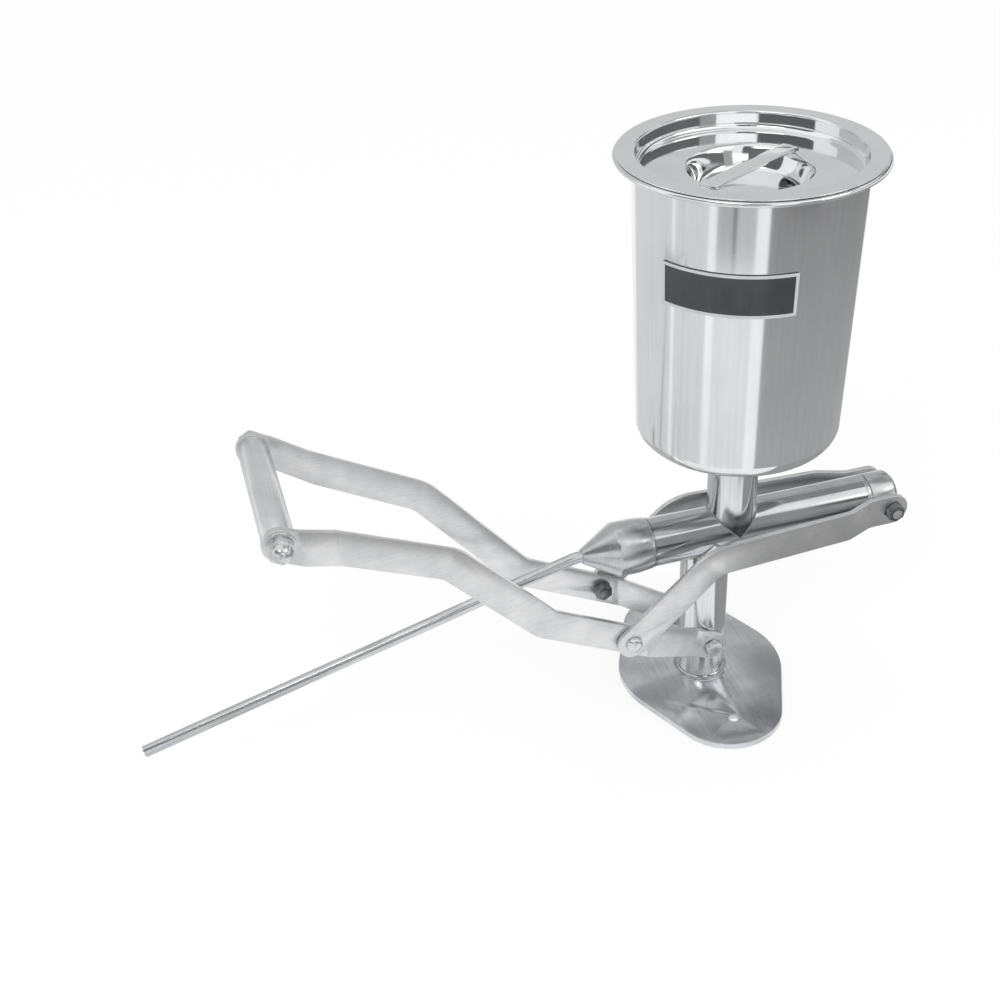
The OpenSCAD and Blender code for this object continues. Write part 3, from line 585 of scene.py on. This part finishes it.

# %% [markdown]
# ## Welds
# The neck, the barrel and the post are one weldment. A hand-run bead is a row of small overlapping
# ripples, each a frozen puddle, so it is made as one ripple repeated along the joint: a tree walks
# the joint's line, sets a flattened drop on it every millimetre, and sizes each one a little with a
# fixed seed. The joints are the saddle curves where a 38 mm tube meets another at right angles.

# %% Weld beads


def bead_tree():
    """Geometry Nodes tree that lays overlapping weld ripples along a line."""
    tree = bpy.data.node_groups.new("lay a weld bead", "GeometryNodeTree")
    tree.interface.new_socket("Joint", in_out="INPUT", socket_type="NodeSocketGeometry")
    for name, kind in (("Ripple Pitch", "Float"), ("Bead Radius", "Float"), ("Seed", "Int"),
                       ("Finish", "Material")):
        tree.interface.new_socket(name, in_out="INPUT", socket_type="NodeSocket" + kind)
    tree.interface.new_socket("Bead", in_out="OUTPUT", socket_type="NodeSocketGeometry")
    given = add_node(tree, "NodeGroupInput").outputs
    line = add_node(tree, "GeometryNodeMeshToCurve", Mesh=given["Joint"])
    walked = add_node(tree, "GeometryNodeResampleCurve", {"mode": "LENGTH"}, Curve=line.outputs[0],
                      Length=given["Ripple Pitch"])
    along = add_node(tree, "GeometryNodeInputTangent")
    aligned = add_node(tree, "FunctionNodeAlignRotationToVector", {"axis": "X"}, Vector=along.outputs[0])
    ripple = add_node(tree, "GeometryNodeMeshIcoSphere", Radius=given["Bead Radius"], Subdivisions=2)
    flat = add_node(tree, "GeometryNodeTransform", Geometry=ripple.outputs[0], Scale=(0.75, 1.0, 1.0))
    size = add_node(tree, "FunctionNodeRandomValue", {"data_type": "FLOAT"}, _2=0.9, _3=1.12,
                    Seed=given["Seed"])
    laid = add_node(tree, "GeometryNodeInstanceOnPoints", Points=walked.outputs[0], Instance=flat.outputs[0],
                    Rotation=aligned.outputs[0], Scale=size.outputs[1])
    real = add_node(tree, "GeometryNodeRealizeInstances", Geometry=laid.outputs[0])
    smooth = add_node(tree, "GeometryNodeSetShadeSmooth", Geometry=real.outputs[0])
    coated = add_node(tree, "GeometryNodeSetMaterial", Geometry=smooth.outputs[0], Material=given["Finish"])
    add_node(tree, "NodeGroupOutput", Bead=coated.outputs[0])
    return tree


TUBE_R, AXIS_Z = 19.05, 140.5
SADDLE_R, FOOT_R, FOOT_Z = TUBE_R + 0.15, TUBE_R + 1.3, 6.0     # where the middles of the beads run
WHOLE_TURN = [2 * math.pi * i / 120 for i in range(120)]
lay_a_bead = bead_tree()


def weld(name, points, bead_mm, seed):
    """Bead along a closed line of points in millimetres, riding on the stand."""
    ring = [(i, (i + 1) % len(points)) for i in range(len(points))]
    piece = grown(name, lay_a_bead, points, ring, Ripple_Pitch=1.0 * MM, Bead_Radius=bead_mm * MM,
                  Seed=seed, Finish=weld_steel)
    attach(piece, "stand")
    print(name, len(piece.data.polygons), "faces")


def saddle(y, z_side):
    """Line where an upright tube at y meets the barrel, above (1) or below (-1) its axis."""
    return [(SADDLE_R * math.cos(t), y + SADDLE_R * math.sin(t),
             AXIS_Z + z_side * SADDLE_R * abs(math.sin(t))) for t in WHOLE_TURN]


weld("weld_neck_to_barrel", saddle(POT_AXIS_Y, 1), 0.75, 3)
weld("weld_post_to_barrel", saddle(0, -1), 0.75, 5)
weld("weld_post_foot", [(FOOT_R * math.cos(t), FOOT_R * math.sin(t), FOOT_Z) for t in WHOLE_TURN], 1.6, 7)

# %% [markdown]
# ## Thread
# The barrel's own thread shows in the narrow gap behind the cap. It is coloured with the dark fastener
# steel, which paints the shade of that gap, so it reads as a dark line of fine ridges. A thread is a ridge
# that follows a spiral, so a tree draws the spiral and runs a small ridge along it, at the pitch of a fine
# tube thread.

# %% Thread ridges


def thread_tree():
    """Geometry Nodes tree that runs a small ridge along a spiral up the Z axis, then turns it."""
    tree = bpy.data.node_groups.new("cut a thread", "GeometryNodeTree")
    tree.interface.new_socket("Start", in_out="INPUT", socket_type="NodeSocketGeometry")
    for name, kind in (("Radius", "Float"), ("Length", "Float"), ("Rounds", "Float"), ("Ridge", "Float"),
                       ("Turn", "Vector"), ("Place", "Vector"), ("Finish", "Material")):
        tree.interface.new_socket(name, in_out="INPUT", socket_type="NodeSocket" + kind)
    tree.interface.new_socket("Thread", in_out="OUTPUT", socket_type="NodeSocketGeometry")
    given = add_node(tree, "NodeGroupInput").outputs
    spiral = add_node(tree, "GeometryNodeCurveSpiral", Resolution=40, Rotations=given["Rounds"],
                      Start_Radius=given["Radius"], End_Radius=given["Radius"], Height=given["Length"])
    ridge = add_node(tree, "GeometryNodeCurvePrimitiveCircle", {"mode": "RADIUS"}, Resolution=5,
                     Radius=given["Ridge"])
    swept = add_node(tree, "GeometryNodeCurveToMesh", Curve=spiral.outputs[0], Profile_Curve=ridge.outputs[0],
                     Fill_Caps=True)
    turned = add_node(tree, "GeometryNodeTransform", Geometry=swept.outputs[0], Translation=given["Place"],
                      Rotation=given["Turn"])
    real = add_node(tree, "GeometryNodeRealizeInstances", Geometry=turned.outputs[0])
    coated = add_node(tree, "GeometryNodeSetMaterial", Geometry=real.outputs[0], Material=given["Finish"])
    add_node(tree, "NodeGroupOutput", Thread=coated.outputs[0])
    return tree


cut_a_thread = thread_tree()
FORWARD = (math.pi / 2, 0, 0)      # from +Z to -Y
THREAD_R, THREAD_RIDGE, THREAD_PITCH, THREAD_LENGTH = TUBE_R + 0.28, 0.42, 1.3, 2.6
THREAD_BEHIND = 2.2                # how far behind the cap the thread starts
cap_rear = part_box("cap_nut")[1][1] / MM
# The thread's ridges are real, but its dark colour is painted shade for the narrow gap behind the cap.
thread = grown("thread_on_barrel", cut_a_thread, [(0, 0, 0)], Radius=(THREAD_R - THREAD_RIDGE) * MM,
               Length=THREAD_LENGTH * MM, Rounds=THREAD_LENGTH / THREAD_PITCH, Ridge=THREAD_RIDGE * MM,
               Turn=FORWARD, Place=Vector((0, cap_rear + THREAD_BEHIND, AXIS_Z)) * MM, Finish=dark_bolt_and_gap_shade_steel)
face_outwards(thread.data)
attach(thread, "stand")
print(thread.name, len(thread.data.polygons), "faces")

# %% [markdown]
# ## Light and studio
# The machine stands on a plain white sweep under soft light. Polished steel is lit by what it
# reflects, so the studio also holds plain cards that only reflections see: grey ones behind and
# above, dark and white ones standing round the machine, and grey ones lying on the floor. They give
# the steel its long soft streaks, while the light on the object stays plain and even.

# %% Floor


def stage_mesh(name, corners, faces, material):
    """A flat piece of the studio, which isn't part of the machine."""
    mesh = bpy.data.meshes.new(name)
    mesh.from_pydata(corners, [], faces)
    mesh.materials.append(material)
    piece = bpy.data.objects.new(name, mesh)
    bpy.context.scene.collection.objects.link(piece)
    return piece


def studio_white(name, share):
    """White that glows by share where the camera or a reflection sees it, and catches shadows with
    the rest."""
    material = bpy.data.materials.new(name)
    material.use_nodes = True
    tree = material.node_tree
    tree.nodes.clear()
    ray = add_node(tree, "ShaderNodeLightPath")
    seen = add_node(tree, "ShaderNodeMath", {"operation": "MAXIMUM"}, _0=ray.outputs["Is Camera Ray"],
                    _1=ray.outputs["Is Glossy Ray"])
    seen = add_node(tree, "ShaderNodeMath", {"operation": "MAXIMUM"}, _0=seen.outputs[0],
                    _1=ray.outputs["Is Transmission Ray"])
    part = add_node(tree, "ShaderNodeMath", {"operation": "MULTIPLY"}, _0=seen.outputs[0], _1=share)
    matt = add_node(tree, "ShaderNodeBsdfDiffuse", Color=to_linear("#F4F4F4"))
    glow = add_node(tree, "ShaderNodeEmission", Color=(1, 1, 1, 1), Strength=1.0)
    mixed = add_node(tree, "ShaderNodeMixShader", _0=part.outputs[0], _1=matt.outputs[0], _2=glow.outputs[0])
    add_node(tree, "ShaderNodeOutputMaterial", Surface=mixed.outputs[0])
    return material


FLOOR_HALF, FLOOR_Z = 6, -0.0006      # just under the machine and the cards, so no faces share a plane
floor = stage_mesh("floor", [(x * FLOOR_HALF, y * FLOOR_HALF, FLOOR_Z)
                             for x, y in ((-1, -1), (1, -1), (1, 1), (-1, 1))],
                   [(0, 1, 2, 3)], studio_white("white studio sweep", 0.8))
print("floor", floor.dimensions[:2])

# %% Reflection cards
FADE_FROM, FADE_TO = 0.45, 1.2     # metres from the post's foot between which a card fades
CARD_STEPS = 24                    # straight steps along a card's curved edge


def card(name, corners, level, edge_level=None):
    """A plain card that only reflections see, of one grey or fading outwards to another."""
    material = bpy.data.materials.new(name)
    material.use_nodes = True
    tree = material.node_tree
    tree.nodes.clear()
    glow = add_node(tree, "ShaderNodeEmission", Color=(1, 1, 1, 1), Strength=level)
    if edge_level is not None:
        place = add_node(tree, "ShaderNodeTexCoord").outputs["Object"]
        reached = add_node(tree, "ShaderNodeVectorMath", {"operation": "LENGTH"}, _0=place).outputs["Value"]
        fade = add_node(tree, "ShaderNodeMapRange", _0=reached, _1=FADE_FROM, _2=FADE_TO,
                        _3=level, _4=edge_level)
        tree.links.new(fade.outputs[0], glow.inputs["Strength"])
    add_node(tree, "ShaderNodeOutputMaterial", Surface=glow.outputs[0])
    piece = stage_mesh(name, corners, [tuple(range(len(corners)))], material)
    piece.visible_camera = piece.visible_diffuse = piece.visible_shadow = False
    piece.visible_transmission = piece.visible_volume_scatter = False
    return piece


def between(from_deg, to_deg):
    """Directions from one to the other in small steps, in radians."""
    return [math.radians(from_deg + (to_deg - from_deg) * i / CARD_STEPS) for i in range(CARD_STEPS + 1)]


def sector(name, from_deg, to_deg, level, near, far=2.4, edge_level=None, lie=None):
    """A flat sector of card round the pot's axis, between two directions seen from above. On the
    floor, the darker a card is, the higher it lies, so a dark strip shows on a paler card."""
    turns, middle = between(from_deg, to_deg), POT_AXIS_Y * MM
    lie = -0.0004 + 0.0003 * (1 - level) if lie is None else lie
    inner = [(near * math.cos(t), middle + near * math.sin(t), lie) for t in turns]
    outer = [(far * math.cos(t), middle + far * math.sin(t), lie) for t in reversed(turns)]
    return card(name, inner + outer, level, edge_level)


def wall_card(name, from_deg, to_deg, low, high, level, away_m=1.6):
    """An upright band of card round the post's axis, between two directions and two heights."""
    foot = [(away_m * math.cos(t), away_m * math.sin(t), low) for t in between(from_deg, to_deg)]
    head = [(x, y, high) for x, y, _ in reversed(foot)]
    return card(name, foot + head, level)


cards = [
    # Behind and above: what level faces and the tops of the tubes reflect
    card("card_behind", [(-1.9, -2.6, 0.25), (-1.9, 2.6, 0.25), (-1.5, 2.6, 2.6), (-1.5, -2.6, 2.6)],
         0.64),
    sector("card_over_behind", 80, 150, 0.38, 0.5, lie=2.6),
    # Standing round the machine: what the dish and the bowl of the lid reflect
    wall_card("card_dark_right", 32, 140, 0.85, 1.25, 0.15),
    wall_card("card_white_front", -19, 14, 0.86, 1.28, 1.25),
    wall_card("card_white_front_left", -28, -19, 0.86, 1.14, 1.25),
    # Below and above those: what the middle of the nozzle reflects
    wall_card("card_nozzle_low", -30, -6, 0.25, 0.84, 0.14),
    wall_card("card_nozzle_high", -19, -6, 1.3, 3.0, 0.14),
    wall_card("card_nozzle_high_left", -30, -19, 1.16, 3.0, 0.14),
    wall_card("card_dark_left", -92, -30, 0.75, 2.0, 0.13),
    # What the barrel's side reflects, from its dark lower streak up to its bright one
    wall_card("card_low_right", 10, 42, 0.085, 0.26, 0.1, away_m=0.9),
    wall_card("card_grey_right", 14, 32, 0.3, 1.45, 0.42),
    wall_card("card_bright_right", 18, 84, 1.7, 3.2, 1.3),
    # On the floor, near: what the post, the neck and the links reflect
    sector("card_near_right", 22, 135, 0.36, 0.05, 0.33),
    sector("card_near_left", 150, 258, 0.55, 0.05, 0.33),
    # On the floor, far: what the pot reflects, one pot stripe to a card
    sector("card_right", -4.5, 132, 0.42, 0.33, edge_level=0.27),
    sector("card_front_pale", -53, -16.5, 0.86, 0.33, 0.88),
    sector("card_front_left_grey", -53, -38, 0.5, 0.88),
    sector("card_front_right_grey", -35, -16.5, 0.58, 0.88),
    sector("card_front_line", -38, -35, 0.15, 0.88),
    sector("card_left_pale", -96, -61, 0.76, 0.33),
    sector("card_left_far", -165, -100, 0.74, 0.33),
    sector("card_streak_a", -124, -121, 0.3, 0.1, 0.45),
    sector("card_streak_b", -112, -109, 0.3, 0.1, 0.45),
]
print("cards", [c.name for c in cards])

# %% Lamps and world
world = bpy.data.worlds.new("white studio")
bpy.context.scene.world = world
world.use_nodes = True
world.node_tree.nodes["Background"].inputs["Color"].default_value = (1, 1, 1, 1)
world.node_tree.nodes["Background"].inputs["Strength"].default_value = 1.0


def soft_lamp(name, place, aim, size, power):
    """A square area lamp that points at aim."""
    lamp = bpy.data.objects.new(name, bpy.data.lights.new(name, "AREA"))
    lamp.data.size, lamp.data.energy = size, power
    lamp.location = place
    lamp.rotation_euler = (Vector(aim) - Vector(place)).to_track_quat("-Z", "Y").to_euler()
    bpy.context.scene.collection.objects.link(lamp)


soft_lamp("key_softbox", (1.4, -1.3, 1.9), (0, -0.1, 0.2), 1.2, 14)
soft_lamp("fill_softbox", (1.2, 1.6, 1.5), (0, 0, 0.2), 1.0, 6)
bpy.context.scene.view_settings.view_transform = "Standard"
print("world", world.name)
